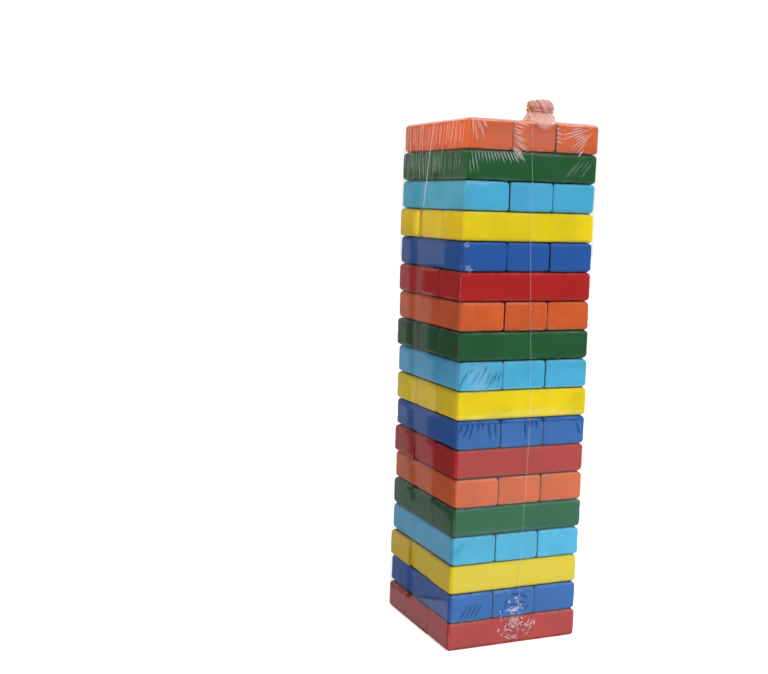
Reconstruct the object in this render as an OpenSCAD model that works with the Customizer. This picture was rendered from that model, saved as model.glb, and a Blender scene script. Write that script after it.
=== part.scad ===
// Tumbling tower: painted wooden blocks stacked in crossed layers of three,
// in a clear film bag that is open at the bottom and gathered to a tuft on top.
// Frame: the origin is the centre of the base, +Z is up and the front is at -Y.
// Odd layers run along X and even layers along Y. Layer 1 is at the bottom.

/* [Blocks] */
// Length of a block
block_length = 75; // [60:0.5:90]
// Width of a block, a little under a third of its length
block_width = 24.7; // [19:0.1:24.8]
// Height of a block
block_height = 14.95; // [10:0.05:20]
// Radius of the four long edges
edge_radius = 2; // [0.5:0.1:4]
// Radius of the end edges that lie across, seen from the block's side
end_radius = 1.8; // [0.4:0.1:4]
// Radius of the upright edges, seen from above
upright_radius = 0.6; // [0.2:0.1:2.5]

/* [Tower] */
// Number of layers
layers = 18; // [3:1:18]
// Gap between two blocks of one layer
side_gap = 0.15; // [0.05:0.05:0.5]
// Gap between two layers, which lets a block slide
layer_gap = 0.05; // [0.02:0.01:0.2]
// How far the stack sways to each side as it goes up
sway = 0.4; // [0:0.1:1.5]
// How far a block stands in or out of its layer
uneven = 0.3; // [0:0.05:0.5]
// How much further to the left the back block of each odd layer stands
left_out = 0.6; // [0:0.1:1.5]

/* [Film bag] */
// Thickness of the bag's wall
film_thickness = 0.15; // [0.1:0.05:0.5]
// Gap between the bag and the furthest block
film_gap = 0.3; // [0.1:0.05:1]
// Radius of the bag's upright corners
film_radius = 2.2; // [1:0.1:4]
// Height of the bag's open edge above the base
film_hem = 0.4; // [0.1:0.1:2]
// Width of the gathered tuft
tuft_width = 16; // [10:1:30]
// Height of the gathered tuft
tuft_height = 13; // [8:1:25]
// Distance of the tuft to the right of the middle
tuft_right = 8; // [-15:1:15]
// Distance of the tuft behind the front of the tower
tuft_back = 9.5; // [8:0.5:30]

/* [Hidden] */
$fn = 48;
in_layer = [0, 1, 2];
side_names = [["left", "middle", "right"], ["front", "middle", "back"]];
paints = ["#a52020", "#26558f", "#dcc41c", "#4fabd6", "#265a33", "#c9612f"];
film_tint = [0.93, 0.95, 0.97, 0.3];

layer_pitch = block_height + layer_gap;
side_pitch = block_width + side_gap;
tower_height = layers * layer_pitch - layer_gap;
// Layer at which the sway crosses the tower's axis, and the layers in one full swing
sway_centre = 10.5;
sway_layers = 14;
// Steps that scatter how far each block stands in or out, in degrees
uneven_by_layer = 97;
uneven_by_side = 151;
// The bag's inner side, which clears the furthest block end
film_inner = block_length + 2 * (sway + uneven + left_out + film_gap);
film_outer = film_inner + 2 * film_thickness;
// The tuft's outline, as shares of half its width and of its height
tuft_neck = 0.72;
tuft_crown = 0.8;
tuft_waist = 0.25;
tuft_swell = 0.4;
tuft_shoulder = 0.75;

function is_odd(layer) = layer % 2 == 1;
function two_digits(n) = n < 10 ? str("0", n) : str(n);
function block_name(layer, i) =
    str("block_", two_digits(layer), "_", side_names[layer % 2][i]);
function layer_sway(layer) = -sway * sin(360 * (layer - sway_centre) / sway_layers);
function block_shift(layer, i) =
    uneven * sin(uneven_by_layer * layer + uneven_by_side * i)
    - (is_odd(layer) && i == 2 ? left_out : 0);

// A rectangle centred on the origin, with round corners
module rounded_rectangle(size, r) {
    square([size[0] - 2 * r, size[1]], center = true);
    square([size[0], size[1] - 2 * r], center = true);
    for (x = [-1, 1], y = [-1, 1])
        translate([x * (size[0] / 2 - r), y * (size[1] / 2 - r)])
            circle(r);
}

// One block along X, standing on z = 0 and centred on it
module plain_block() {
    translate([0, 0, block_height / 2])
        intersection() {
            rotate([90, 0, 90])
                linear_extrude(block_length, center = true)
                    rounded_rectangle([block_width, block_height], edge_radius);
            linear_extrude(block_height, center = true)
                rounded_rectangle([block_length, block_width], upright_radius);
            rotate([90, 0, 0])
                linear_extrude(block_width, center = true)
                    rounded_rectangle([block_length, block_height], end_radius);
        }
}

// Block i of a layer, in its place and its layer's paint
module block(layer, i) {
    along = block_shift(layer, i);
    across = (i - 1) * side_pitch;
    place = is_odd(layer) ? [along, across] : [across, along];
    color(paints[(layer - 1) % len(paints)])
        translate([place[0] + layer_sway(layer), place[1], (layer - 1) * layer_pitch])
            rotate(is_odd(layer) ? 0 : 90)
                plain_block();
}

// The bag's four walls, open at the bottom
module film_walls() {
    translate([0, 0, film_hem])
        linear_extrude(tower_height + film_gap - film_hem)
            difference() {
                rounded_rectangle([film_outer, film_outer], film_radius);
                rounded_rectangle([film_inner, film_inner], film_radius - film_thickness);
            }
}

// The bag's flat top
module film_top() {
    translate([0, 0, tower_height + film_gap])
        linear_extrude(film_thickness)
            rounded_rectangle([film_outer, film_outer], film_radius);
}

// The gathered end of the bag: a foot, a waist and a knob with a round top
module film_tuft() {
    knob = tuft_width / 2;
    translate([tuft_right, tuft_back - block_length / 2, tower_height + film_gap])
        rotate_extrude()
            polygon([
                [0, 0],
                [knob, 0],
                [knob * tuft_neck, tuft_height * tuft_waist],
                [knob, tuft_height * tuft_swell],
                [knob, tuft_height * tuft_shoulder],
                [knob * tuft_crown, tuft_height],
                [0, tuft_height]]);
}

module shrink_film() {
    color(film_tint)
        union() {
            film_walls();
            film_top();
            film_tuft();
        }
}

for (layer = [1:layers], i = in_layer)
    block(layer, i);
shrink_film();
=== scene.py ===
"""Looks of the tumbling tower: painted wooden blocks in a clear shrink film bag.

The blocks are rebuilt with worn, slightly uneven edges in the places of their CAD nodes. The film is
a thin closed skin in separate pieces: a window in front of the two ends of each block that slides,
the walls between the windows, and a crown for the top with its gathered tuft. Lengths are in
millimetres until a mesh is made, which is in metres. Places of lights, of the floor and of its
reflection are in metres.
"""

import math

import bpy
import numpy as np
from mathutils import Matrix, Vector


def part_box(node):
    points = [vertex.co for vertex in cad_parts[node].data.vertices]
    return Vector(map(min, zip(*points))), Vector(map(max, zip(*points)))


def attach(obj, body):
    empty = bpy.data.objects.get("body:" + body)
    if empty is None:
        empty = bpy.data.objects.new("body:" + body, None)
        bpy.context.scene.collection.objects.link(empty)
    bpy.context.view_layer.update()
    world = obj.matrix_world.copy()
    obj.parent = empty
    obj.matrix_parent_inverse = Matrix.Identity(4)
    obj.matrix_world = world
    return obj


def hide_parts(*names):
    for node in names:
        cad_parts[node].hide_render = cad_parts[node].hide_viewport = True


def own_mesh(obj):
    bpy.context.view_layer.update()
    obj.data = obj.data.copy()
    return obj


MM = 0.001
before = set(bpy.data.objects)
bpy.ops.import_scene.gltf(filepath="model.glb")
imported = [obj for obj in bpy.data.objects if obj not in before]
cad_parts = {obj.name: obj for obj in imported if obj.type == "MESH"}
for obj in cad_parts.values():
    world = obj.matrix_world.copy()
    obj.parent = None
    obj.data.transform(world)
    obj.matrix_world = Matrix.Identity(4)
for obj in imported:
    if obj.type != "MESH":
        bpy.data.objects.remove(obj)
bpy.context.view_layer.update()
scene = bpy.context.scene

# ---------------------------------------------------------------- the tower, read from the frame

SIDE_NAMES = (("left", "middle", "right"), ("front", "middle", "back"))
PAINT_NAMES = ("red", "blue", "yellow", "light_blue", "green", "orange")
ROOT_PLACE = (1, 1)
FILM_BODY = "shrink_film"
LAYERS = len([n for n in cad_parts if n.startswith("block_")]) // 3


def block_name(layer, i):
    return f"block_{layer:02d}_{SIDE_NAMES[layer % 2][i]}"


def box_mm(node):
    """A node's lowest and highest corners at rest, in millimetres."""
    low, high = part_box(node)
    return np.array(low) / MM, np.array(high) / MM


BOXES = {
    (layer, i): box_mm(block_name(layer, i)) for layer in range(1, LAYERS + 1) for i in range(3)
}
TOWER_TOP = max(high[2] for low, high in BOXES.values())
PITCH = (BOXES[2, 0][0] - BOXES[1, 0][0])[2]
BLOCK_SIZE = BOXES[1, 0][1] - BOXES[1, 0][0]


# ---------------------------------------------------------------- node helpers


class Nodes:
    """A short way to write a node tree: each call adds one node and links its inputs."""

    def __init__(self, tree):
        self.tree = tree
        tree.nodes.clear()

    def add(self, kind, inputs=None, **settings):
        node = self.tree.nodes.new(kind)
        for key, value in settings.items():
            setattr(node, key, value)
        for key, value in (inputs or {}).items():
            self.put(node.inputs[key], value)
        return node

    def put(self, socket, value):
        if isinstance(value, bpy.types.Node):
            value = value.outputs[0]
        if isinstance(value, bpy.types.NodeSocket):
            self.tree.links.new(value, socket)
        else:
            socket.default_value = value

    def math(self, operation, a, b=0.0, clamp=False):
        return self.add("ShaderNodeMath", {0: a, 1: b}, operation=operation, use_clamp=clamp)

    def mix(self, factor, a, b):
        node = self.add("ShaderNodeMix", data_type="RGBA")
        for index, value in ((0, factor), (6, a), (7, b)):
            self.put(node.inputs[index], value)
        return node.outputs[2]

    def noise(self, vector, scale, detail=3.0, roughness=0.55):
        return self.add(
            "ShaderNodeTexNoise",
            {"Vector": vector, "Scale": scale, "Detail": detail, "Roughness": roughness},
        )

    def ramp(self, value, low, high, to_low=0.0, to_high=1.0):
        return self.add(
            "ShaderNodeMapRange", {0: value, 1: low, 2: high, 3: to_low, 4: to_high}, clamp=True
        )


def new_material(name):
    material = bpy.data.materials.new(name)
    material.use_nodes = True
    return material, Nodes(material.node_tree)


def rgba(colour):
    return (*colour, 1.0)


# ---------------------------------------------------------------- materials

PAINTS = {
    "red": (0.46, 0.014, 0.012),
    "blue": (0.0205, 0.113, 0.415),
    "yellow": (0.82, 0.645, 0.005),
    "light_blue": (0.072, 0.44, 0.68),
    "green": (0.018, 0.108, 0.034),
    "orange": (0.635, 0.116, 0.022),
}


def paint_material(name, colour):
    """Satin paint on wood: grain along the block's X, faint blotches, a tone of its own for each block,
    lighter worn edges, and painted shade that goes dark deep in the joints."""
    material, n = new_material(name + "_paint")
    place = n.add("ShaderNodeTexCoord").outputs["Object"]
    own = n.add("ShaderNodeObjectInfo").outputs["Random"]
    tone = n.add("ShaderNodeAttribute", attribute_name="tone").outputs["Fac"]
    shift = n.add("ShaderNodeCombineXYZ", {0: n.math("MULTIPLY", own, 7.0)})
    place = n.add("ShaderNodeVectorMath", {0: place, 1: shift}, operation="ADD")
    along = n.add("ShaderNodeMapping", {"Vector": place, "Scale": (40.0, 900.0, 900.0)})
    grain = n.noise(along, 1.0, 4.0, 0.6)
    blotch = n.noise(place, 55.0, 2.0)
    speck = n.noise(place, 1800.0, 2.0, 0.7)
    fibre = n.noise(n.add("ShaderNodeMapping", {"Vector": place, "Scale": (9.0, 260.0, 260.0)}), 1.0)

    darker = tuple(c * 0.80 for c in colour)
    paler = tuple(c + (0.62 - c) * 0.22 for c in colour)
    shade = n.mix(n.ramp(blotch, 0.35, 0.70), rgba(colour), rgba(darker))
    shade = n.mix(n.ramp(grain, 0.58, 0.80, 0.0, 0.55), shade, rgba(darker))
    shade = n.mix(n.ramp(fibre, 0.62, 0.78, 0.0, 0.30), shade, rgba(paler))
    wear = n.math(
        "MULTIPLY",
        n.add("ShaderNodeAttribute", attribute_name="edge").outputs["Fac"],
        n.ramp(n.noise(place, 210.0, 4.0, 0.7), 0.42, 0.66),
        clamp=True,
    )
    shade = n.mix(n.math("MULTIPLY", wear, 0.85), shade, rgba(paler))
    shade = n.mix(n.ramp(tone, 0.0, 2.0, 0.0, 0.9), shade, rgba(darker))
    shade = n.mix(n.ramp(speck, 0.60, 0.80, 0.0, 0.35), shade, rgba(darker))
    # Painted shade: the paint goes dark deep in the joints between blocks, where shade falls.
    joint = n.add("ShaderNodeAttribute", attribute_name="joint").outputs["Fac"]
    shade = n.mix(n.math("MULTIPLY", joint, 0.90), shade, rgba(tuple(c * 0.14 for c in colour)))

    height = n.math("ADD", n.math("MULTIPLY", grain, 0.5), n.math("MULTIPLY", speck, 0.18))
    height = n.math("ADD", height, n.math("MULTIPLY", fibre, 0.5))
    bump = n.add("ShaderNodeBump", {"Strength": 0.22, "Distance": 0.00022, "Height": height})
    rough = n.math("ADD", n.ramp(blotch, 0.3, 0.7, 0.40, 0.52), n.math("MULTIPLY", wear, 0.12))
    surface = n.add(
        "ShaderNodeBsdfPrincipled",
        {
            "Base Color": shade,
            "Roughness": rough,
            "Normal": bump,
            "Specular IOR Level": 0.16,
            "Coat Weight": 0.04,
            "Coat Roughness": 0.28,
        },
    )
    n.add("ShaderNodeOutputMaterial", {"Surface": surface})
    return material


FILM_TINT = (0.985, 0.987, 0.99)
# Colour of the film's whitish haze: milky film and, on narrow creases, painted glints.
CREASE_HAZE_AND_GLINT = (0.86, 0.87, 0.90)
CREASE_SHADE = (0.010, 0.012, 0.018)
# The tuft's painted colours: a salmon tint that stands for orange and red light reflected in the gathered
# film, and a darker salmon of painted shade.
TUFT_REFLECTED_TINT = (0.95, 0.66, 0.58)
TUFT_SHADE = (0.58, 0.26, 0.21)


def film_material():
    """Clear film: see-through, with a mirror gloss by Fresnel. Its creases are whitish, milky film with
    painted glints, or where their attribute is below zero, in painted shade. Near the tuft a painted salmon
    tint stands for reflected orange and red light."""
    material, n = new_material("clear_film")
    place = n.add("ShaderNodeTexCoord").outputs["Object"]
    ripple = n.noise(place, 70.0, 3.0, 0.5)
    stretch = n.noise(n.add("ShaderNodeMapping", {"Vector": place, "Scale": (420.0, 420.0, 60.0)}), 1.0)
    height = n.math("ADD", ripple, n.math("MULTIPLY", stretch, 0.12))
    bump = n.add("ShaderNodeBump", {"Strength": 0.10, "Distance": 0.0006, "Height": height})
    back = n.add("ShaderNodeNewGeometry").outputs["Backfacing"]
    # Light crosses the film unbent, so the gloss is that of the outside on both of its faces.
    ior = n.ramp(back, 0.0, 1.0, 1.5, 1 / 1.5)
    gloss = n.add("ShaderNodeFresnel", {"IOR": ior, "Normal": bump})
    clear = n.add("ShaderNodeBsdfTransparent", {"Color": rgba(FILM_TINT)})
    mirror = n.add("ShaderNodeBsdfGlossy", {"Color": rgba((1, 1, 1)), "Roughness": 0.04, "Normal": bump})
    surface = n.add("ShaderNodeMixShader", {0: gloss, 1: clear, 2: mirror})
    crease = n.add("ShaderNodeAttribute", attribute_name="crease").outputs["Fac"]
    blush = n.add("ShaderNodeAttribute", attribute_name="blush").outputs["Fac"]
    # The haze colour: white, then the painted salmon tint of reflected light, then the darker salmon of
    # painted shade; below zero, a crease in painted shade.
    haze_colour = n.mix(n.ramp(blush, 0.0, 1.0), rgba(CREASE_HAZE_AND_GLINT), rgba(TUFT_REFLECTED_TINT))
    haze_colour = n.mix(n.ramp(blush, 1.0, 2.0), haze_colour, rgba(TUFT_SHADE))
    haze_colour = n.mix(n.ramp(crease, -0.01, 0.0, 1.0, 0.0), haze_colour, rgba(CREASE_SHADE))
    white = n.add("ShaderNodeBsdfDiffuse", {"Color": haze_colour})
    glow = n.add("ShaderNodeBsdfTranslucent", {"Color": haze_colour})
    milky = n.add("ShaderNodeMixShader", {0: 0.5, 1: white, 2: glow})
    # Strength of the haze: whitish for milky film and painted glints, or the painted shade of a crease.
    haze = n.math("MULTIPLY", n.math("ABSOLUTE", crease), 0.55, clamp=True)
    surface = n.add("ShaderNodeMixShader", {0: haze, 1: surface, 2: milky})
    n.add("ShaderNodeOutputMaterial", {"Surface": surface})
    return material


PAINT_MATERIALS = {name: paint_material(name, colour) for name, colour in PAINTS.items()}
FILM = film_material()


# ---------------------------------------------------------------- mesh helpers


def mesh_object(name, verts, faces, material, normals=None, **attributes):
    """Makes a smooth mesh from millimetres, with per-corner normals and per-point attributes."""
    mesh = bpy.data.meshes.new(name)
    mesh.from_pydata((np.asarray(verts) * MM).tolist(), [], np.asarray(faces).tolist())
    mesh.materials.append(material)
    mesh.polygons.foreach_set("use_smooth", np.ones(len(mesh.polygons), bool))
    for key, values in attributes.items():
        mesh.attributes.new(key, "FLOAT", "POINT").data.foreach_set("value", np.asarray(values, np.float32))
    if normals is not None:
        mesh.normals_split_custom_set(normals.tolist())
    mesh.update()
    piece = bpy.data.objects.new(name, mesh)
    scene.collection.objects.link(piece)
    return piece


def unit(vectors):
    return vectors / np.maximum(np.linalg.norm(vectors, axis=-1, keepdims=True), 1e-9)


def waves(points, seed, wavelength, count=7):
    """A smooth random field between about -1 and 1, the same on every run."""
    rng = np.random.default_rng(seed)
    total = np.zeros(len(points))
    for _ in range(count):
        direction = rng.normal(size=3)
        direction /= np.linalg.norm(direction)
        turn = rng.uniform(0, 2 * math.pi)
        total += np.sin(points @ direction * 2 * math.pi / (wavelength * rng.uniform(0.7, 1.4)) + turn)
    return total / math.sqrt(count) / 1.3


# ---------------------------------------------------------------- blocks

LONG_EDGE = 2.0
END_EDGE = 1.8
UPRIGHT_EDGE = 0.6
EDGE_STEPS = 5
# How much darker than its paint each layer is, from the bottom up, between 0 and 2
LAYER_TONES = (0.1, 0.0, 1.9, 0.3, 0.0, 0.1, 1.2, 0.8, 0.0, 0.0, 0.6, 0.2, 0.7, 1.8, 0.6, 0.9, 0.5, 0.0)
# The share of an edge's band of grid lines that lies flat, before the round part starts
BAND_FLAT = 1 / EDGE_STEPS


def axis_samples(half, round_by, spacing):
    """Grid lines along one axis of a block, close together on the round edges."""
    edge = [half - round_by * (1 - k / EDGE_STEPS) for k in range(EDGE_STEPS + 1)]
    flat = np.linspace(-(half - round_by), half - round_by, max(2, round(2 * half / spacing)))
    return np.array([-e for e in reversed(edge)] + list(flat[1:-1]) + edge)


def block_grid():
    """Points and faces of a box grid whose lines crowd towards its edges, as one closed mesh."""
    half = BLOCK_SIZE / 2
    grid_lines = [
        axis_samples(half[0], END_EDGE, 2.6),
        axis_samples(half[1], LONG_EDGE, 2.4),
        axis_samples(half[2], LONG_EDGE, 2.2),
    ]
    index, points, faces = {}, [], []

    def vertex(key):
        if key not in index:
            index[key] = len(points)
            points.append([grid_lines[a][k] for a, k in enumerate(key)])
        return index[key]

    for a in range(3):
        b, c = (a + 1) % 3, (a + 2) % 3
        for end in (0, len(grid_lines[a]) - 1):
            for i in range(len(grid_lines[b]) - 1):
                for j in range(len(grid_lines[c]) - 1):
                    quad = []
                    for di, dj in ((0, 0), (1, 0), (1, 1), (0, 1)):
                        key = [0, 0, 0]
                        key[a], key[b], key[c] = end, i + di, j + dj
                        quad.append(vertex(tuple(key)))
                    faces.append(quad if end else quad[::-1])
    return np.array(points), faces


def round_off(points):
    """Box points pulled to the round edges of a block, with their normals and how near an edge is.
    The section across has round corners; the ends are rounded more at top and bottom than upright."""
    half = BLOCK_SIZE / 2
    core = np.clip(points[:, 1:], -(half[1:] - LONG_EDGE), half[1:] - LONG_EDGE)
    out = (points[:, 1:] - core) / LONG_EDGE
    ring = np.abs(out).max(axis=1)
    around = unit(out)
    length = np.clip((np.abs(points[:, 0]) - (half[0] - END_EDGE)) / END_EDGE, 0, 1)
    radius = UPRIGHT_EDGE + (END_EDGE - UPRIGHT_EDGE) * around[:, 1] ** 2
    on_side = ring > 1 - 1e-6
    part = np.where(on_side, length, ring)
    turned = np.clip((part - BAND_FLAT) / (1 - BAND_FLAT), 0, 1) * math.pi / 4
    lift = np.where(on_side, turned, math.pi / 2 - turned)
    flat = np.minimum(part / BAND_FLAT, 1)
    reach_out = np.where(on_side, END_EDGE - (END_EDGE - radius) * flat, radius)
    x = half[0] - reach_out + radius * np.sin(lift)
    x = np.where(on_side & (length == 0), np.abs(points[:, 0]), x) * np.sign(points[:, 0])
    away = np.where(on_side, LONG_EDGE - radius, (LONG_EDGE - radius) * flat) + radius * np.cos(lift)
    away = np.where(ring > 0, away, 0)
    sides = core + around * away[:, None]
    normal = np.column_stack([np.sign(points[:, 0]) * np.sin(lift), around * np.cos(lift)[:, None]])
    corner = np.abs(out).min(axis=1) / np.maximum(ring, 1e-9)
    edge = np.maximum(np.sin(2 * lift), np.where(ring > 0, corner, 0) * np.cos(lift))
    return np.column_stack([x, sides]), normal, edge


def joint_shade_share(beside):
    """How deep in a joint a block's points are, which is how much painted shade they get. The joints
    above and below run all round it; beside says whether there is a neighbour on its local -Y and +Y side."""
    border = BLOCK_SIZE / 2 - (END_EDGE, LONG_EDGE, LONG_EDGE) - 0.01
    near = np.abs(GRID_POINTS) > border
    turned = np.degrees(np.arcsin(np.clip(ROUND_NORMALS, -1, 1)))
    share = np.clip((np.abs(turned[:, 2]) - 50) / 20, 0, 1) * (near[:, 0] | near[:, 1])
    for sign, neighbour in zip((-1, 1), beside):
        if neighbour:
            side = np.clip((turned[:, 1] * sign - 50) / 24, 0, 1) * (near[:, 0] | near[:, 2])
            share = np.maximum(share, side)
    return share


GRID_POINTS, GRID_FACES = block_grid()
ROUND_POINTS, ROUND_NORMALS, EDGE_SHARE = round_off(GRID_POINTS)


def worn_block(seed):
    """The rounded block, worn: every change goes inwards, so a block never grows."""
    rng = np.random.default_rng(seed)
    side = np.clip(1.3 - np.abs(ROUND_NORMALS[:, 2]) * 1.3, 0, 1)
    worn = 0.04 * (1 + waves(ROUND_POINTS, seed, 26.0)) * side
    worn += EDGE_SHARE * 0.07 * (1 + waves(ROUND_POINTS, seed + 1, 9.0))
    for _ in range(7):
        centre = ROUND_POINTS[rng.choice(np.flatnonzero(EDGE_SHARE > 0.8))]
        size = rng.uniform(0.8, 2.0)
        near = np.exp(-np.sum((ROUND_POINTS - centre) ** 2, axis=1) / size**2)
        worn += near * rng.uniform(0.06, 0.22)
    return ROUND_POINTS - ROUND_NORMALS * worn[:, None]


def make_block(layer, i):
    low, high = BOXES[layer, i]
    name = block_name(layer, i)
    paint = PAINT_NAMES[(layer - 1) % len(PAINT_NAMES)]
    material = PAINT_MATERIALS[paint]
    points = worn_block(100 * layer + i)
    beside = (False, False) if layer % 2 else (i < 2, i > 0)
    # Painted shade in the joints. The top layer's top face has no joint above it, so it gets none.
    joint = joint_shade_share(beside)
    if layer == LAYERS:
        joint = joint * (ROUND_NORMALS[:, 2] < 0.3)
    tone = LAYER_TONES[layer - 1] + 0.2 * math.sin(5 * layer + 2 * i)
    piece = mesh_object("painted_" + name, points, GRID_FACES, material, edge=EDGE_SHARE, joint=joint,
                        tone=np.full(len(points), tone))
    turn = 0.0 if layer % 2 else math.pi / 2
    piece.matrix_world = Matrix.Translation((low + high) / 2 * MM) @ Matrix.Rotation(turn, 4, "Z")
    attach(piece, name)
    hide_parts(name)


for layer_number, place_number in BOXES:
    make_block(layer_number, place_number)


# ---------------------------------------------------------------- film: its surface

# Between the film and the furthest blocks, and the film's thickness
FILM_GAP = 0.22
SKIN = 0.04
# Radius of the upright corners, and of the curve over the top edge
CORNER = 1.9
TOP_CURVE = 1.7
# Height of the open hem, how far up it curls in, and by how much
HEM = 0.4
HEM_CURL = 2.0
HEM_INSET = 0.55
# The u at which a side's flat ends and its corner starts, and the corner's length along u
FLAT = 35.6
ARC = CORNER * math.pi / 2
# How far the film dips at the grooves between layers
GROOVE_DIP = 0.06
GROOVE_WIDTH = 1.3
FILM_TOP = TOWER_TOP + 0.25
CURVE_START = FILM_TOP - TOP_CURVE
ROWS_END = CURVE_START + TOP_CURVE * math.pi / 2

# Each side's outward normal. Seen from outside, the next side in the list is the one on the right.
OUTWARD = {"front": (0, -1), "right": (1, 0), "back": (0, 1), "left": (-1, 0)}
SIDES = tuple(OUTWARD)
# The two sides that the ends of an even and of an odd layer's blocks face
SLIDE_SIDES = (("front", "back"), ("right", "left"))


def next_side(side, step=1):
    return SIDES[(SIDES.index(side) + step) % 4]


def reach(side, layer):
    """How far a layer's blocks stand out on a side: at the side's left end, and at its right end."""
    normal, tangent = OUTWARD[side], OUTWARD[next_side(side)]
    found = []
    for i in range(3):
        corners = [(c[0] * normal[0] + c[1] * normal[1]) for c in BOXES[layer, i]]
        middle = sum(BOXES[layer, i])[:2] @ tangent
        found.append((middle, max(corners)))
    if side not in SLIDE_SIDES[layer % 2]:
        return (max(out for _, out in found),) * 2
    left, centre, right = (out for _, out in sorted(found))
    proud = max(centre - (left + right) / 2, 0)
    return left + proud, right + proud


def taut_profile(side, end):
    """Heights and distances of a film stretched down one end of a side: the hull of the layers' reach."""
    points = []
    for layer in range(1, LAYERS + 1):
        for z in ((layer - 1) * PITCH, layer * PITCH):
            new = (z, reach(side, layer)[end])
            while len(points) > 1:
                (z0, d0), (z1, d1) = points[-2:]
                if (d1 - d0) * (new[0] - z0) > (new[1] - d0) * (z1 - z0):
                    break
                points.pop()
            points.append(new)
    return np.array(points).T


PROFILES = {side: [taut_profile(side, end) for end in (0, 1)] for side in SIDES}


def wall(side, z, share):
    """The film's distance from the axis, at height z and at a share of the way across the side: taut
    over the layers, with a dip at each groove."""
    groove = ((z / PITCH + 0.5) % 1 - 0.5) * PITCH
    dip = GROOVE_DIP * np.exp(-((groove / GROOVE_WIDTH) ** 2))
    left, right = (np.interp(z, *profile) for profile in PROFILES[side])
    return left + (right - left) * share + FILM_GAP - dip


# ---------------------------------------------------------------- film: its creases

# A crease is (u0, z0, u1, z1, width, height, haze) on a side, where u runs to the right of its middle.
# A haze above zero is whitish: milky film and, on narrow creases, painted glints. A haze below zero is a
# crease in painted shade.


def stroke(u, z, length, lean, width=0.5, height=0.28, haze=0.8):
    """A crease that starts at (u, z) and runs down, leaning to the right by lean degrees."""
    a = math.radians(lean)
    return (u, z, u + length * math.sin(a), z - length * math.cos(a), width, height, haze)


def star(u, z, size, count, seed):
    """Creases that run out from one point, some longer than others."""
    rng = np.random.default_rng(seed)
    marks = []
    for k in range(count):
        turn = 2 * math.pi * (k + rng.uniform(-0.3, 0.3)) / count
        near, far = size * rng.uniform(0.05, 0.3), size * rng.uniform(0.5, 1.05)
        ends = [(u + r * math.cos(turn), z + r * math.sin(turn)) for r in (near, far)]
        marks.append((*ends[0], *ends[1], 0.34, 0.24, 0.70))
    return marks


def swirl(u, z, radii, start, end, seed):
    """Broken creases along arcs round one point, from one angle to another in degrees."""
    rng = np.random.default_rng(seed)
    marks = []
    for radius in radii:
        turns = np.radians(np.linspace(start, end, 9))
        for t0, t1 in zip(turns, turns[1:]):
            if rng.random() < 0.6:
                far = radius * rng.uniform(0.9, 1.1), radius * rng.uniform(0.9, 1.1)
                ends = [(u + r * math.cos(t), z + r * 0.8 * math.sin(t)) for r, t in zip(far, (t0, t1))]
                marks.append((*ends[0], *ends[1], 0.34, 0.22, rng.uniform(0.7, 1.5)))
    return marks


def pleats(seed, count, top, length, height=0.26, pale=(0.4, 2.6)):
    """Upright creases side by side across a whole side, as the film is drawn in over the top. Their haze is
    drawn from the range pale: whitish above zero, painted shade below.
    """
    rng = np.random.default_rng(seed)
    marks = []
    for k in range(count):
        u = 68 * ((k + rng.uniform(0.1, 0.9)) / count - 0.5)
        mark = stroke(u, top - rng.uniform(0, 2), length * rng.uniform(0.5, 1.0), -u * 0.16, 0.45,
                      height * rng.uniform(0.5, 1.1), height * rng.uniform(*pale))
        marks.append(mark)
    return marks


def specks(u, z, across, up, count, seed):
    """Short bright creases, painted glints, scattered round one point, as where the film is crumpled small.
    """
    rng = np.random.default_rng(seed)
    marks = []
    for _ in range(count):
        turn, far = rng.uniform(0, 2 * math.pi), rng.uniform(0.0, 1.0)
        place = u + across * far * math.cos(turn), z + up * far * math.sin(turn)
        length, lean = rng.uniform(0.4, 1.7), rng.uniform(-80, 80)
        marks.append(stroke(*place, length, lean, rng.uniform(0.28, 0.42), 0.22, rng.uniform(0.6, 1.7)))
    return marks


# Creases in painted shade from the upper edge of one layer: where each starts and ends.
EDGE_CREASES = (
    (-33.6, 118.6, -35.0, 114.0), (-29.8, 118.8, -33.2, 111.6), (-27.9, 118.8, -29.7, 110.6),
    (-24.6, 118.6, -25.3, 114.4), (-22.3, 118.8, -22.4, 115.6), (-19.7, 118.7, -18.0, 109.6),
    (-15.8, 118.6, -15.1, 111.0), (1.0, 118.6, 1.7, 109.4), (3.1, 118.4, 3.2, 115.4),
    (5.3, 118.4, 5.3, 116.0), (7.7, 118.5, 8.0, 114.6), (31.0, 116.0, 33.4, 110.4),
)


# The shaded creases of the whirl above the crumple, in the same way.
WHIRL_CREASES = (
    (-5.6, 20.6, -4.4, 25.0), (-2.6, 26.6, 3.4, 27.4), (3.8, 26.4, 7.0, 24.6), (-2.0, 21.8, 1.6, 21.2),
    (1.8, 23.6, 5.4, 22.0), (-8.6, 16.6, -6.4, 19.4), (5.8, 17.8, 8.4, 20.4),
)


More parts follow.
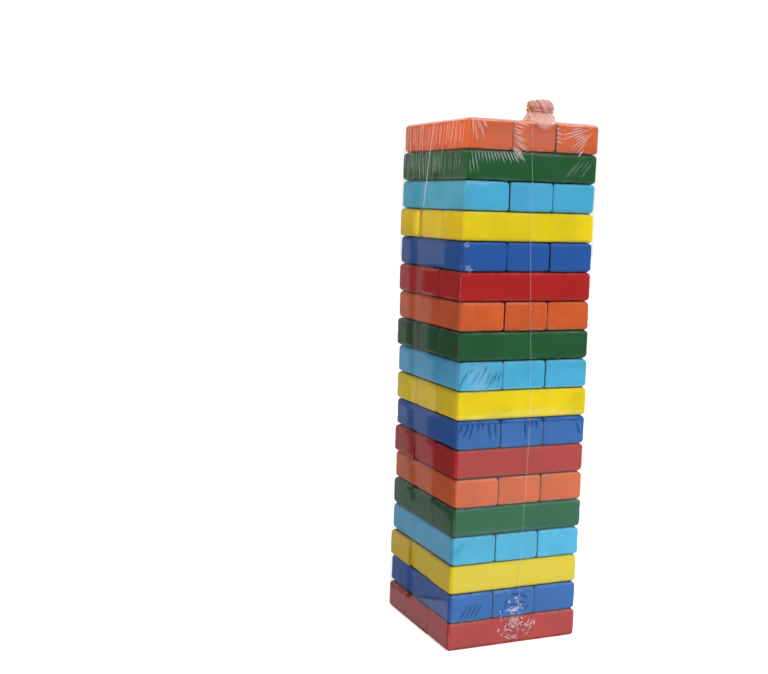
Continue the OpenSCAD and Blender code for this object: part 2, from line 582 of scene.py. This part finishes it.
def front_creases():
    """The creases of the front: a crumple and stripes low down, a ladder, ticks and a fan at the top."""
    rng = np.random.default_rng(5)
    marks = star(-33.8, 196.6, 2.6, 5, 3) + star(-35.6, 208.0, 2.0, 4, 2)
    # The crumple near the bottom: a pale fold, arcs below it, bright flecks of painted glint and a whirl in
    # painted shade above.
    marks += swirl(0.6, 14.0, (5.4, 8.2, 11.0, 13.2), -150, -12, 12) + specks(0.8, 9.6, 11.0, 5.0, 24, 7)
    marks += specks(-0.8, 19.2, 5.6, 1.7, 30, 6) + specks(0.6, 14.2, 4.4, 3.4, 16, 9)
    marks += specks(1.0, 23.5, 5.5, 3.0, 7, 13) + swirl(-1.0, 17.0, (7.0,), 150, 215, 14)
    marks += [(-3.6, 23.6, -2.8, 23.1, 0.60, 0.24, 1.8), (0.2, 25.2, 1.0, 24.8, 0.65, 0.24, 1.8)]
    marks += [(-1.2, 14.4, 0.7, 10.8, 1.2, 0.25, 0.75), (1.9, 14.6, 0.6, 11.2, 0.8, 0.2, 0.6)]
    marks += [(*mark, 0.6, 0.08, -0.55) for mark in WHIRL_CREASES]
    # The top layer: a faint haze all over, steep creases at the left corner, a ladder in the middle and
    # a fan from the right corner.
    marks.append((-37.0, 262.0, 37.0, 262.0, 9.0, 0.0, 0.10))
    for k, length in enumerate((8.0, 10.0, 5.5, 9.0, 4.0, 3.0)):
        start = -35.6 + 1.4 * k, 269.6 - (k % 2) * 1.6
        marks.append(stroke(*start, length, 10 + 4 * k, 0.29, 0.22, 1.15))
    for k in range(10):
        place, drop = -12.8 + rng.uniform(0, 2.6), 1.5 * k
        marks.append(stroke(place, 269 - drop, rng.uniform(4.5, 8.5), 78 - 2.2 * k, 0.27, 0.20, 1.15))
    for k in range(9):
        turn = math.radians(184 + 5.4 * k)
        radii = rng.uniform(3, 12), rng.uniform(17, 26)
        ends = [(37.4 + r * math.cos(turn), 269.6 + r * math.sin(turn)) for r in radii]
        marks.append((*ends[0], *ends[1], 0.27, 0.20, 1.0))
    for k in range(4):
        marks.append(stroke(11.4 + rng.uniform(0, 1), 267.5 - 2.3 * k, 3.2, 66 + 5 * k, 0.28, 0.20, 0.9))
    # The layer below it: a row of ticks that lean more and shine more to the right, and strays beyond.
    for k in range(15):
        length = 11.0 if k < 3 else rng.uniform(4.6, 6.6)
        marks.append(stroke(-36.6 + 1.75 * k, 254.4, length, 10 + 1.6 * k, 0.28, 0.20, 0.55 + 0.045 * k))
    for k in range(3):
        marks.append(stroke(-12.2 + 1.6 * k, 256.6 - 0.5 * k, 7.0, 34, 0.31, 0.24, 1.3))
    marks.append(stroke(28.2, 256.8, 4.4, -44, 0.38, 0.24, 1.3))
    for k in range(5):
        start = 34.5 - 2.6 * k, 252.5 - 0.4 * k + rng.uniform(-1.5, 1.0)
        marks.append(stroke(*start, rng.uniform(6, 13), -38, 0.34, 0.10, 0.24))
    for k in range(7):
        marks.append(stroke(-36 + 1.7 * k, 239 + rng.uniform(-0.5, 0.5), 2.2, 30, 0.45, 0.14, 0.3))
    # Half way down: slanting stripes in painted shade over a pale ground on one layer, and creases in
    # painted shade from the upper edge of another.
    marks += [(-34.0, 143.5, -17.0, 141.5, 6.5, 0.0, 0.22), (-30.0, 137.5, -21.0, 137.5, 4.0, 0.0, 0.18)]
    for k in range(11):
        drop, length = rng.uniform(0, 5), rng.uniform(4, 9)
        marks.append(stroke(-13.5 - 2.0 * k, 148.5 - drop, length, -24, 0.55, 0.04, -0.42))
    marks += [(*mark, 0.40, 0.10, -0.52) for mark in EDGE_CREASES]
    # Near the bottom, by the left corner: creases in painted shade.
    for k in range(3):
        marks.append(stroke(-30.2 - 2.4 * k, 57.8 - 1.1 * k, 9.0 - k, -27, 0.32, 0.04, -0.36))
    for k in range(4):
        start = -19.0 - 2.6 * k, 24.0 - rng.uniform(0, 2.0)
        marks.append(stroke(*start, rng.uniform(7.5, 9.5), -33, 0.44, 0.05, -0.60))
    return marks


# The left side's long pale seam, and the shaded or faint creases low down and below the top.
LEFT_CREASES = [
    (0.2, 271.0, -8.4, 222.0, 0.52, 0.16, 0.85),
    (-1.0, 17.0, 36.5, 27.5, 0.75, 0.10, -0.5),
    (-15.0, 14.5, -15.5, 2.0, 0.6, 0.22, 0.1),
    (13.6, 9.0, 12.8, 1.5, 0.6, 0.22, 0.1),
    (0.0, 243.0, 8.0, 242.0, 3.0, 0.0, -0.45),
]
CREASES = {
    "front": front_creases(),
    "left": LEFT_CREASES
    + pleats(21, 26, 269.0, 15.5, 0.18, (-0.6, 2.4))
    # On the left, the lower row of pleats is mostly in painted shade.
    + pleats(22, 30, 254.5, 14.5, 0.12, (-5.0, 2.0)),
    "right": pleats(31, 24, 269.0, 14.0) + pleats(32, 16, 254.5, 9.0) + star(-8, 18, 6, 9, 33),
    "back": pleats(41, 26, 269.0, 15.0) + pleats(42, 14, 254.5, 8.0) + star(12, 14, 7, 11, 43),
}


def crease_field(side, u, z):
    """Height and haze of a side's creases at the given places. Haze below zero is shade."""
    height, haze, shade = np.zeros(u.shape), np.zeros(u.shape), np.zeros(u.shape)
    u_low, u_high, z_low, z_high = u.min(), u.max(), z.min(), z.max()
    for u0, z0, u1, z1, width, rise, white in CREASES[side]:
        edge = 3 * width
        if max(u0, u1) < u_low - edge or min(u0, u1) > u_high + edge:
            continue
        if max(z0, z1) < z_low - edge or min(z0, z1) > z_high + edge:
            continue
        du, dz = u1 - u0, z1 - z0
        t = np.clip(((u - u0) * du + (z - z0) * dz) / (du * du + dz * dz), 0, 1)
        away = np.hypot(u - u0 - t * du, z - z0 - t * dz) / width
        taper = np.sin(math.pi * (0.1 + 0.85 * t))
        height += rise * np.exp(-(away**2)) * (0.35 + 0.65 * taper)
        mark = white * np.exp(-2 * away**2) * taper
        haze, shade = np.maximum(haze, mark), np.minimum(shade, mark)
    return height, haze + shade


# ---------------------------------------------------------------- film: points on it


def corner_span(side, z):
    """Where a side's flat starts and how long it is, between the round corners, at height z."""
    inset = film_inset(z)
    radius = np.maximum(CORNER - inset, 0.15)
    to_right = wall(next_side(side), z, 0) - inset - radius
    to_left = wall(next_side(side, -1), z, 1) - inset - radius
    return -to_left, to_left + to_right


def film_inset(z):
    """How far the film is drawn in: over the top edge, and a little at the hem."""
    over = np.arcsin(np.clip((z - CURVE_START) / TOP_CURVE, 0, 1))
    return TOP_CURVE * (1 - np.cos(over)) + HEM_INSET * np.clip(1 - (z - HEM) / HEM_CURL, 0, 1) ** 2


def place_u(side, place, z):
    """The u at which a side's film is at a place across it, in millimetres from the tower's axis."""
    start, length = corner_span(side, z)
    return FLAT * (2 * (place - start) / length - 1)


def film_point(side, u, v):
    """The film's points and haze. u runs round to the right of the side's middle, and past FLAT round
    the corner. v runs up the side, and past CURVE_START over the top edge."""
    order = SIDES.index(side)
    normal = np.array((*OUTWARD[side], 0.0))
    tangent = np.array((*OUTWARD[next_side(side)], 0.0))
    over = np.clip((v - CURVE_START) / TOP_CURVE, 0, math.pi / 2)
    z = np.minimum(v, CURVE_START) + TOP_CURVE * np.sin(over)
    inset = film_inset(z)
    radius = np.maximum(CORNER - inset, 0.15)
    start, length = corner_span(side, z)
    share = np.clip((u / FLAT + 1) / 2, 0, 1)
    flat = start + share * length
    turn = np.clip((np.abs(u) - FLAT) / CORNER, 0, math.pi / 2) * np.sign(u)
    outward = normal * np.cos(turn)[..., None] + tangent * np.sin(turn)[..., None]
    point = normal * (wall(side, z, share) - inset - radius)[..., None] + tangent * flat[..., None]
    point = point + outward * radius[..., None]
    point[..., 2] = z
    outward = outward * np.cos(over)[..., None]
    outward[..., 2] += np.sin(over)
    height, haze = crease_field(side, u, v)
    slack = 0.018 * (np.sin(u / 7.1 + z / 23.0 + order) + np.sin(z / 9.3 - u / 15.0 + 2 * order))
    slack *= np.clip((FLAT - np.abs(u)) / 6, 0, 1)
    return point + outward * np.maximum(height + slack + 0.03, -0.08)[..., None], haze


def film_normals(side, u, v):
    """The film's normals, from points close by, so that patches meet without a visible joint."""
    near = 0.12
    across = film_point(side, u + near, v)[0] - film_point(side, u - near, v)[0]
    up = film_point(side, u, v + near)[0] - film_point(side, u, v - near)[0]
    return unit(np.cross(across, up))


# ---------------------------------------------------------------- film: its pieces


class Sheet:
    """Collects grids of points as thin closed skins, with their normals, haze, and painted reflected tint
    and shade.
    """

    def __init__(self):
        self.points, self.faces, self.normals, self.haze, self.blush = [], [], [], [], []
        self.count = 0

    def grid(self, outer, normals, haze, blush=0.0, closed=False, skin=SKIN):
        """Adds a grid of rows of points as an outer face, an inner face and a rim round its border."""
        rows, cols = outer.shape[:2]
        total = rows * cols
        both = np.concatenate([outer.reshape(-1, 3), (outer - normals * skin).reshape(-1, 3)])
        flat_normals = normals.reshape(-1, 3)
        numbers = np.arange(total).reshape(rows, cols)
        if closed:
            numbers = np.concatenate([numbers, numbers[:, :1]], axis=1)
        quads = np.stack([numbers[:-1, :-1], numbers[:-1, 1:], numbers[1:, 1:], numbers[1:, :-1]], axis=-1)
        quads = quads.reshape(-1, 4)
        borders = [numbers[0], numbers[-1][::-1]]
        if not closed:
            borders += [numbers[:, -1], numbers[:, 0][::-1]]
        rims = [np.stack([b[:-1], b[:-1] + total, b[1:] + total, b[1:]], axis=1) for b in borders]
        rims = np.concatenate(rims)
        first, second, _, fourth = (both[rims[:, k]] for k in range(4))
        rim_normals = unit(np.cross(second - first, fourth - first))
        back = quads[:, ::-1]
        self.points.append(both)
        self.faces.append(np.concatenate([quads, back + total, rims]) + self.count)
        self.normals += [flat_normals[quads].reshape(-1, 3), -flat_normals[back].reshape(-1, 3)]
        self.normals.append(np.repeat(rim_normals, 4, axis=0))
        self.haze.append(np.tile(np.broadcast_to(haze, (rows, cols)).ravel(), 2))
        self.blush.append(np.tile(np.broadcast_to(blush, (rows, cols)).ravel(), 2))
        self.count += 2 * total

    def make(self, name):
        piece = mesh_object(
            name,
            np.concatenate(self.points),
            np.concatenate(self.faces),
            FILM,
            np.concatenate(self.normals),
            crease=np.concatenate(self.haze),
            blush=np.concatenate(self.blush),
        )
        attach(piece, FILM_BODY)
        return piece


def lines(low, high, step):
    return np.linspace(low, high, max(2, round((high - low) / step) + 1))


def band_rows(layer, step):
    """The v lines of one layer's band: the top layer's band runs on over the top edge."""
    low = HEM if layer == 1 else (layer - 1) * PITCH
    if layer < LAYERS:
        return lines(low, layer * PITCH, step)
    return np.concatenate([lines(low, CURVE_START, step)[:-1], np.linspace(CURVE_START, ROWS_END, 9)])


def grid_step(side, layer):
    """Creased bands are drawn on a finer grid."""
    low, high = (layer - 1) * PITCH, layer * PITCH
    creased = sum(1 for c in CREASES[side] if min(c[1], c[3]) < high and max(c[1], c[3]) > low)
    if creased > 3:
        fine = 0.27 if layer in (1, 2, LAYERS - 1, LAYERS) else 0.36
        return fine if side in ("front", "left") else 0.5
    return 0.6 if creased else 1.5


def add_patch(sheet, side, layer, start=None, end=None):
    """One layer's film on a side. A start or end of None is the start or end of the side's flat, a
    number is a place across the side, and 'corner' takes in the round corner beyond the flat."""
    step = grid_step(side, layer)
    v = band_rows(layer, step)
    ends = []
    for place, flat_end in ((start, -FLAT), (end, FLAT)):
        if place is None or place == "corner":
            ends.append(np.full(v.shape, flat_end))
        else:
            ends.append(place_u(side, place, np.minimum(v, FILM_TOP)))
    shares = lines(0, 1, step / (ends[1] - ends[0]).mean())
    u = ends[0][:, None] + (ends[1] - ends[0])[:, None] * shares
    arc = np.linspace(0, ARC, 8)[1:]
    if start == "corner":
        u = np.concatenate([np.tile(-FLAT - arc[::-1], (len(v), 1)), u], axis=1)
    if end == "corner":
        u = np.concatenate([u, np.tile(FLAT + arc, (len(v), 1))], axis=1)
    v = np.repeat(v[:, None], u.shape[1], axis=1)
    outer, haze = film_point(side, u, v)
    sheet.grid(outer, film_normals(side, u, v), haze)


# The seam down the front: how far it is to the right of the tower's axis at each height.
SEAM_HEIGHTS = (0, 45, 110, 150, 205, 240, 270)
SEAM_PLACES = (2.7, 2.2, 3.8, 2.9, 0.2, -0.4, -2.0)
SEAM_WIDTH = 0.42
SEAM_RISE = 0.05


def add_seam(sheet, layer):
    """One layer's length of the seam: a narrow welded rib that stands on the film."""
    v = band_rows(layer, 1.0)
    centre = np.interp(v, SEAM_HEIGHTS, SEAM_PLACES)
    across = np.array([-1.0, -0.55, 0.0, 0.55, 1.0]) * SEAM_WIDTH / 2
    u = centre[:, None] + across[None, :]
    v = np.repeat(v[:, None], len(across), axis=1)
    points, _ = film_point("front", u, v)
    normals = film_normals("front", u, v)
    rise = SEAM_RISE * np.array([0.0, 0.8, 1.0, 0.8, 0.0]) + 0.02
    sheet.grid(points + normals * rise[None, :, None], normals, 0.20, skin=0.03)


# The milky fold below the tuft: how far to the right it hangs, how wide it is and how far it reaches down.
FLAP_PLACE = 4.9
FLAP_WIDTH = 11.6
FLAP_DROP = 4.0


def add_flap(sheet):
    """A milky fold of the gathered film, which hangs over the top edge below the tuft to a round tip. It
    has the tuft's painted salmon tint of reflected light.
    """
    v = lines(TOWER_TOP - FLAP_DROP, ROWS_END, 0.3)
    across = np.linspace(-1, 1, 45)
    drop = np.clip((v - v[0]) / FLAP_DROP, 0, 1)[:, None]
    u = FLAP_PLACE + across[None, :] * (0.3 + 0.7 * np.sqrt(drop)) * FLAP_WIDTH / 2
    v = np.repeat(v[:, None], len(across), axis=1)
    points, _ = film_point("front", u, v)
    normals = film_normals("front", u, v)
    fold = 0.35 + 0.16 * np.sin(across * 9 + v * 0.5) + 0.1 * np.sin(across * 17 + 2)
    haze = 0.75 * np.clip(1.25 - np.abs(across), 0, 1) * np.clip(0.35 + drop, 0, 1)
    sheet.grid(points + normals * fold[..., None], normals, haze, blush=1.0)


def make_window(layer, i, sheet):
    """The film in front of both ends of one block, between the middles of the gaps beside it."""
    axis = layer % 2
    for side in SLIDE_SIDES[axis]:
        sign = 1 if side in ("front", "right") else -1
        cuts = []
        for low_block in (i - 1, i):
            if 0 <= low_block < 2:
                gap = BOXES[layer, low_block][1][axis], BOXES[layer, low_block + 1][0][axis]
                cuts.append(sum(gap) / 2 * sign)
            else:
                cuts.append("corner")
        add_patch(sheet, side, layer, *cuts[::sign])
    if axis == 0 and i == 1:
        add_seam(sheet, layer)
    if layer == LAYERS and i == 1:
        add_flap(sheet)


def make_walls():
    """The film beside the blocks, which stays in place, with the windows of the block that is the root."""
    sheet = Sheet()
    for layer in range(1, LAYERS + 1):
        for side in SLIDE_SIDES[1 - layer % 2]:
            add_patch(sheet, side, layer)
        if layer % 2:
            add_seam(sheet, layer)
    make_window(*ROOT_PLACE, sheet)
    return sheet.make("film_walls")


def make_windows():
    """A window piece for each block that slides."""
    pieces = []
    for layer, i in BOXES:
        if (layer, i) == ROOT_PLACE:
            continue
        sheet = Sheet()
        make_window(layer, i, sheet)
        name = block_name(layer, i)
        piece = sheet.make("film_" + name[len("block_"):])
        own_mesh(piece)
        pieces.append(piece)
    return pieces


# ---------------------------------------------------------------- film: its crown

TUFT_PLACE = np.array((7.8, -28.0))
TUFT_DEPTH = 0.8
# The tuft's outline from its foot to the middle of its top: radius, and height above the tower.
TUFT_OUTLINE = ((9.8, 0.5), (8.6, 2.0), (7.6, 4.0), (6.8, 4.9), (7.2, 5.8), (7.4, 8.0), (6.9, 9.9),
                (5.8, 11.1), (3.8, 11.7), (1.4, 11.9), (0.15, 11.8))


def top_edge():
    """The closed line at which the sides end, over the top edge, anticlockwise from the front."""
    u = np.concatenate([np.linspace(-FLAT, FLAT, 72), FLAT + np.linspace(0, ARC, 6)[1:-1]])
    return np.concatenate([film_point(side, u, np.full(u.shape, ROWS_END))[0] for side in SIDES])


def ridges(turn, seed, counts, sharp=1.6):
    """Pleats round a turn, between 0 and 1: sharp outward ridges and round hollows."""
    rng = np.random.default_rng(seed)
    total = 0
    for count in counts:
        wobble = 0.5 * np.sin(turn * rng.integers(1, 4) + rng.uniform(0, 6))
        total = total + (1 - np.abs(np.sin((count * turn + rng.uniform(0, 6) + wobble) / 2))) ** sharp
    return total / len(counts)


def crumple(points, seed, wavelength):
    """Sharp-edged random folds, between about 0 and 1."""
    shape = points.shape[:-1]
    flat = points.reshape(-1, 3)
    folds = np.abs(waves(flat, seed, wavelength)) + 0.5 * np.abs(waves(flat, seed + 1, wavelength / 2))
    return 1 - folds.reshape(shape)


def grid_normals(points):
    """Normals of a grid whose columns close into a ring."""
    across = np.roll(points, -1, axis=1) - np.roll(points, 1, axis=1)
    return unit(np.cross(across, np.gradient(points, axis=0)))


def tuft_rings(turn, rows, seed, size=1.0):
    """Rings of the gathered tuft from its foot to the middle of its crumpled top, their haze, and their
    painted reflected tint and painted shade.
    """
    outline = np.array(TUFT_OUTLINE) * (size, 1) - (0, (1 - size) * 3)
    steps = np.concatenate([[0], np.cumsum(np.hypot(*np.diff(outline, axis=0).T))])
    along = np.linspace(0, steps[-1], rows)
    radius, rise = (np.interp(along, steps, outline[:, k])[:, None] for k in (0, 1))
    round_about = np.stack([np.cos(turn), TUFT_DEPTH * np.sin(turn)], axis=-1)
    points = np.zeros((rows, len(turn), 3))
    points[..., :2] = TUFT_PLACE + radius[..., None] * round_about
    points[..., 2] = TOWER_TOP + rise
    pleat = ridges(turn + 0.11 * rise, seed, (8, 13, 19))
    folds = crumple(points * (1, 1, 1.5), seed + 5, 10.0)
    tilted = rise + 0.10 * (points[..., 0] - TUFT_PLACE[0])
    pinch = sum(np.exp(-(((tilted - at) / 0.4) ** 2)) for at in (5.2, 6.5))
    share = np.minimum(radius / 6, 1) * np.clip(along[:, None] / 3, 0, 1)
    depth = (1.3 * pleat + 0.8 * folds - 1.0 - 0.6 * pinch) * share
    points[..., :2] += depth[..., None] * round_about
    points[..., 2] += 0.5 * waves(points.reshape(-1, 3), seed + 9, 6.0).reshape(depth.shape) * share
    # Painted shade in the hollows of the pleats and along the pinches on the upper part; the ridges are
    # paler and less tinted, as painted highlights.
    dark = np.clip((0.24 - pleat) / 0.10, 0, 1) + 0.8 * pinch
    dark = np.clip(dark, 0, 1) * np.clip((rise - 4.2) / 1.5, 0, 1)
    bright = np.clip((pleat - 0.38) / 0.2, 0, 1)
    haze = 0.75 + 0.35 * bright + 0.60 * dark
    return points, haze, 1 + 0.95 * dark - 0.6 * bright


def make_crown():
    """The film over the top: drawn in from all round in radial pleats to a gathered tuft."""
    sheet = Sheet()
    edge = top_edge()
    offset = edge[:, :2] - TUFT_PLACE
    turn = np.unwrap(np.arctan2(offset[:, 1] / TUFT_DEPTH, offset[:, 0]))
    tuft, tuft_haze, tuft_blush = tuft_rings(turn, 90, 60)
    share = (1 - (1 - np.linspace(0, 1, 50)) ** 1.5)[:-1, None]
    points = edge + (tuft[0] - edge) * share[..., None]
    away = np.linalg.norm(points[..., :2] - tuft[0, :, :2], axis=-1)
    inner = np.clip(share * 6, 0, 1)
    pleat = ridges(turn, 70, (19, 31, 47), 2.2)
    near = np.exp(-away / 5)
    lift = (0.05 + 0.30 * np.exp(-away / 22) + 0.9 * near * (1 - near)) * pleat * inner
    points[..., 2] = edge[:, 2] + (tuft[0, :, 2] - edge[:, 2]) * np.exp(-away / 1.5) + lift
    # Whitish haze on the pleat ridges near the tuft, and the tuft's painted salmon tint of reflected light,
    # which fades in towards it.
    haze = np.clip(0.12 * np.exp(-away / 9) + 0.8 * pleat**2 * np.exp(-away / 16), 0, 1) * inner
    blush = np.concatenate([np.exp(-away / 4), tuft_blush])
    points, haze = np.concatenate([points, tuft]), np.concatenate([haze, tuft_haze])
    sheet.grid(points, grid_normals(points), haze, blush, closed=True)
    inside, inside_haze, inside_blush = tuft_rings(turn[::2], 50, 90, 0.78)
    sheet.grid(inside, grid_normals(inside), inside_haze, inside_blush, closed=True)
    return sheet.make("film_crown")


film_walls = make_walls()
film_others = make_windows() + [make_crown()]
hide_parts("shrink_film")


# ---------------------------------------------------------------- camera

CAMERA_PLACE = (-292.5, -538.4, 227.4)
CAMERA_YAW = math.radians(-23.15)
CAMERA_PITCH = math.radians(-6.69)
CAMERA_ROLL = math.radians(1.71)
IMAGE_WIDTH = 768
FOCAL_IN_WIDTHS = 1140.7 / IMAGE_WIDTH


def make_camera():
    data = bpy.data.cameras.new("camera")
    data.sensor_width = 36.0
    data.lens = data.sensor_width * FOCAL_IN_WIDTHS
    camera = bpy.data.objects.new("camera", data)
    scene.collection.objects.link(camera)
    turn = Matrix.Rotation(CAMERA_YAW, 4, "Z") @ Matrix.Rotation(math.pi / 2 + CAMERA_PITCH, 4, "X")
    turn = turn @ Matrix.Rotation(CAMERA_ROLL, 4, "Z")
    camera.matrix_world = Matrix.Translation([c * MM for c in CAMERA_PLACE]) @ turn
    scene.camera = camera


make_camera()


# ---------------------------------------------------------------- stage and lights


def add_light(kind, name, place, aim, **settings):
    """Makes a light at one place that shines towards another."""
    data = bpy.data.lights.new(name, kind)
    for key, value in settings.items():
        setattr(data, key, value)
    light = bpy.data.objects.new(name, data)
    scene.collection.objects.link(light)
    light.location = place
    light.rotation_euler = (Vector(aim) - Vector(place)).to_track_quat("-Z", "Y").to_euler()
    return light


FLOOR_NEAR = -0.624
FLOOR_FAR = 4.0
FLOOR_HALF_WIDTH = 4.0
# The floor's own light, on the object and to the camera
FLOOR_GLOW = 0.22
FLOOR_GLOW_SHOWN = 0.66
# What gloss sees of the floor: one pale strip in front of the tower, dark beside it, white far behind.
# The strip's middle leans by STRIP_LEAN of X for each Y, and it fades out between its two half widths.
FLOOR_MIRRORED = (0.38, 0.74, 0.72)
STRIP_LEAN = 0.43
STRIP_PLACE = 0.034
STRIP_HALF_WIDTHS = (0.100, 0.120)
STRIP_ENDS = (-0.042, -0.037)
WHITE_FROM = (0.10, 0.30)


def make_floor():
    """A plain white floor. Its front edge is as near as the film's reflection of it reaches."""
    material, n = new_material("floor")
    path = n.add("ShaderNodeLightPath")
    glow = n.ramp(path.outputs["Is Camera Ray"], 0.0, 1.0, FLOOR_GLOW, FLOOR_GLOW_SHOWN)
    shown = n.add(
        "ShaderNodeBsdfPrincipled",
        {
            "Base Color": rgba((0.90, 0.90, 0.90)),
            "Roughness": 0.95,
            "Specular IOR Level": 0.1,
            "Emission Color": rgba((1, 1, 1)),
            "Emission Strength": glow,
        },
    )
    place = n.add("ShaderNodeSeparateXYZ", {0: n.add("ShaderNodeNewGeometry").outputs["Position"]})
    strip = n.math("ADD", place.outputs["X"], n.math("MULTIPLY", place.outputs["Y"], STRIP_LEAN))
    strip = n.math("ABSOLUTE", n.math("SUBTRACT", strip, STRIP_PLACE))
    beside = n.ramp(strip, *STRIP_HALF_WIDTHS)
    beside = n.math("MAXIMUM", beside, n.ramp(place.outputs["Y"], *STRIP_ENDS))
    colour = n.mix(beside, rgba(FLOOR_MIRRORED), rgba((0.03, 0.03, 0.03)))
    behind = n.ramp(place.outputs["Y"], *WHITE_FROM)
    seen = n.add("ShaderNodeEmission", {"Color": n.mix(behind, colour, rgba((0.95, 0.95, 0.95)))})
    surface = n.add("ShaderNodeMixShader", {0: path.outputs["Is Glossy Ray"], 1: shown, 2: seen})
    n.add("ShaderNodeOutputMaterial", {"Surface": surface})
    corners = [(-1, FLOOR_NEAR), (1, FLOOR_NEAR), (1, FLOOR_FAR), (-1, FLOOR_FAR)]
    corners = [(x * FLOOR_HALF_WIDTH / MM, y / MM, 0) for x, y in corners]
    mesh_object("floor", corners, [(0, 1, 2, 3)], material)


# What the left face mirrors, as outlines on that face: (place along Y, height) in millimetres. The
# cards that show there stand to the left of the tower or lie on the floor, and only gloss sees them.
CARD_X = -100.0
LEFT_FACE_X = -38.0
# The dark band, layer by layer from the top: height, near edge and far edge.
BAND = (
    (240, 6, 16), (226, 6, 16), (224, 11, 21), (211, 11, 21), (209, 6, 16), (166, 6, 16), (164, 10, 19),
    (151, 10, 19), (149, 7, 16), (136, 8, 16), (134, 12, 21), (121, 12, 21), (118, 7, 15), (74, 1, 7),
    (46, -5, 1),
)
BAND_NEAR = tuple((near, z) for z, near, _ in BAND)
BAND_FAR = tuple((far, z) for z, _, far in BAND)
# Each card's lift off the plane or the floor, its glow and its outline.
CARDS = {
    "card_pale": (0.0, 0.21, ((60, 211), (-110, 211), (-110, 44), (60, 44))),
    "card_upper": (0.0, 0.14, ((60, 320), (-110, 320), (-110, 211), (60, 211))),
    "card_clean": (0.8, 0.02, (
        (-110, 226), (-29, 226), (-24, 197), (0, 194), (-1, 181), (-10, 180), (-10, 166), (-8, 165),
        (-9, 150), (-15, 149), (-17, 135), (-24, 133), (-24, 121), (-12, 119), (-13, 106), (-19, 104),
        (-19, 75), (-34, 74), (-36, 58), (-110, 58),
    )),
    "card_band": (0.8, 0.02, BAND_FAR[:1] + BAND_NEAR + BAND_FAR[:0:-1]),
    "card_far_floor": (0.2, 0.15, ((60, 44), (-60, 44), (-60, 32), (-35, 28), (-9, 19), (10, 15), (60, 9))),
    "card_near_floor": (0.2, 0.32, ((60, 9), (10, 15), (-9, 19), (-35, 28), (-60, 32), (-60, 2), (60, 2))),
    "card_strip": (0.4, 0.02, ((6, 44), (-1, 44), (2, 24), (6, 14), (10, 14), (9, 24))),
}


def mirrored(y, z, lift):
    """The point that the camera sees mirrored in the left face at y and z: on the floor, or on the
    upright plane of the cards, brought lift millimetres nearer."""
    ahead = np.array((LEFT_FACE_X, y, z)) - CAMERA_PLACE
    ahead[0] *= -1
    share = (CARD_X + lift - LEFT_FACE_X) / ahead[0]
    if z + share * ahead[2] < 1:
        share = (lift - z) / ahead[2]
    return np.array((LEFT_FACE_X, y, z)) + share * ahead


def make_cards():
    for name, (lift, glow, outline) in CARDS.items():
        material, n = new_material(name)
        shine = n.add("ShaderNodeEmission", {"Color": rgba((glow,) * 3)})
        n.add("ShaderNodeOutputMaterial", {"Surface": shine})
        corners = [mirrored(y, z, lift) for y, z in outline]
        card = mesh_object(name, corners, [range(len(corners))], material)
        card.visible_camera = card.visible_diffuse = card.visible_shadow = False
        card.visible_transmission = card.visible_volume_scatter = False


# The level direction from the camera to what is behind the tower
BEHIND = (0.39, 0.92)


def make_world():
    """White to the camera, soft grey light on the object, and to shiny surfaces dark round the horizon
    but for the part behind the tower."""
    world = bpy.data.worlds.new("studio")
    scene.world = world
    world.use_nodes = True
    n = Nodes(world.node_tree)
    path = n.add("ShaderNodeLightPath")
    up = n.add("ShaderNodeSeparateXYZ", {0: n.add("ShaderNodeTexCoord").outputs["Generated"]})
    high = n.ramp(up.outputs["Z"], 0.10, 0.35)
    gloss = n.mix(high, rgba((0.025, 0.025, 0.025)), rgba((0.34, 0.35, 0.36)))
    behind = n.math("MULTIPLY", up.outputs["X"], BEHIND[0])
    behind = n.math("ADD", behind, n.math("MULTIPLY", up.outputs["Y"], BEHIND[1]))
    gloss = n.mix(n.ramp(behind, 0.35, 0.65), gloss, rgba((0.95, 0.95, 0.95)))
    soft = n.mix(n.ramp(up.outputs["X"], -0.8, 0.1), rgba((0.58, 0.42, 0.46)), rgba((0.55, 0.55, 0.56)))
    colour = n.mix(path.outputs["Is Glossy Ray"], soft, gloss)
    colour = n.mix(path.outputs["Is Camera Ray"], colour, rgba((1.15, 1.15, 1.15)))
    background = n.add("ShaderNodeBackground", {"Color": colour, "Strength": 1.0})
    n.add("ShaderNodeOutputWorld", {"Surface": background})


make_floor()
make_cards()
make_world()
add_light("SUN", "top", (0.3, -0.4, 1.0), (0, 0, 0), energy=1.6, angle=math.radians(70))
key = add_light(
    "AREA",
    "key",
    (0.75, -1.15, 1.05),
    (0, 0, 0.13),
    shape="RECTANGLE",
    size=0.9,
    size_y=0.9,
    energy=14.0,
)
fill = add_light(
    "SPOT",
    "fill",
    (-0.29, -0.02, 0.31),
    (-0.038, -0.02, 0.274),
    spot_size=math.radians(38),
    spot_blend=1.0,
    shadow_soft_size=0.04,
    color=(1.0, 0.78, 0.50),
    energy=2.35,
)
key.visible_glossy = fill.visible_glossy = False

scene.view_settings.view_transform = "Standard"
scene.cycles.transparent_max_bounces = 24
